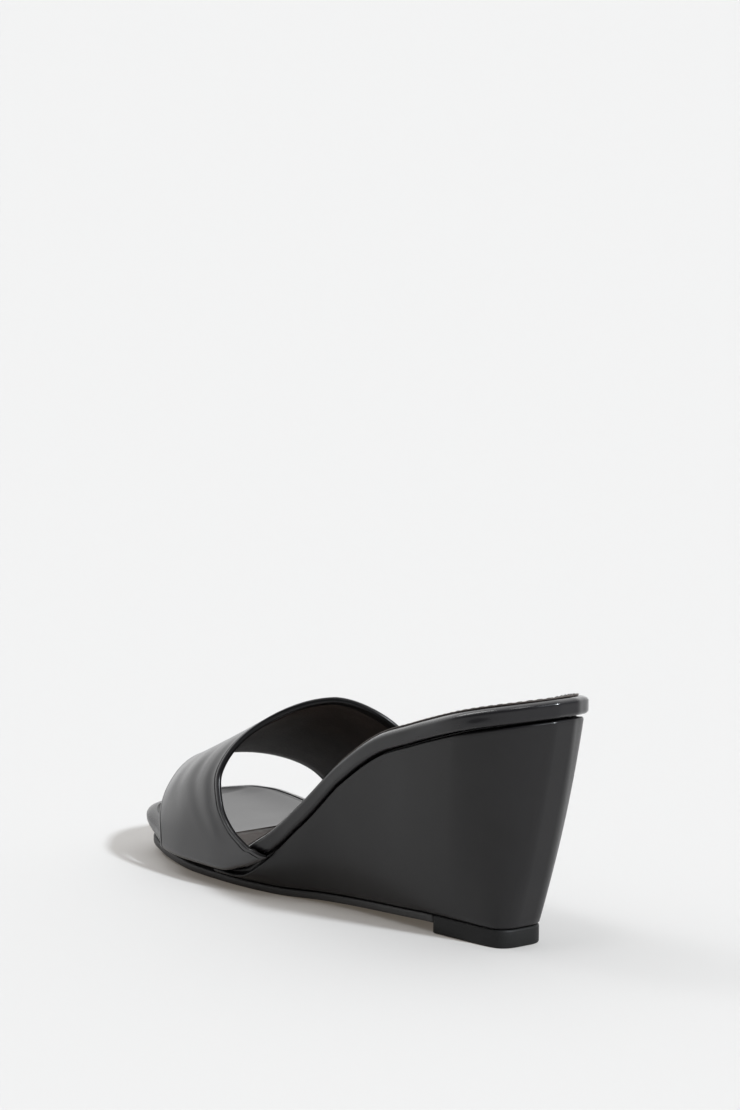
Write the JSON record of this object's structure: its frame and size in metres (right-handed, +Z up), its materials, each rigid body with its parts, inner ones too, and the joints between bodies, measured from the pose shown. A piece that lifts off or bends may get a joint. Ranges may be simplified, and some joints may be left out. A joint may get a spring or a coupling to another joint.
{
  "type": "wedge shoe",
  "caption": "Open-toe, open-back wedge mule with one wide arched strap over a thin footbed, for the left foot.",
  "frame": {"origin": "middle of the shoe's plan, on the floor that the shoe stands on", "axes": "+X from toe to heel, +Y to the medial side (the wearer's right, on this left shoe), +Z up"},
  "size_m": [0.229, 0.0844, 0.091],
  "materials": {
    "smooth_leather": "smooth black leather, satin to glossy",
    "wedge_leather": "smooth black leather pulled over the wedge, satin",
    "sock_leather": "soft brown-grey lining leather, low gloss",
    "sole_rubber": "matt black rubber"
  },
  "bodies": {
    "root": {"outsole": "sole_rubber", "heel_lift": "sole_rubber", "wedge": "wedge_leather", "footbed": "smooth_leather", "sock": "sock_leather", "upper_strap": "smooth_leather"}
  },
  "joints": []
}
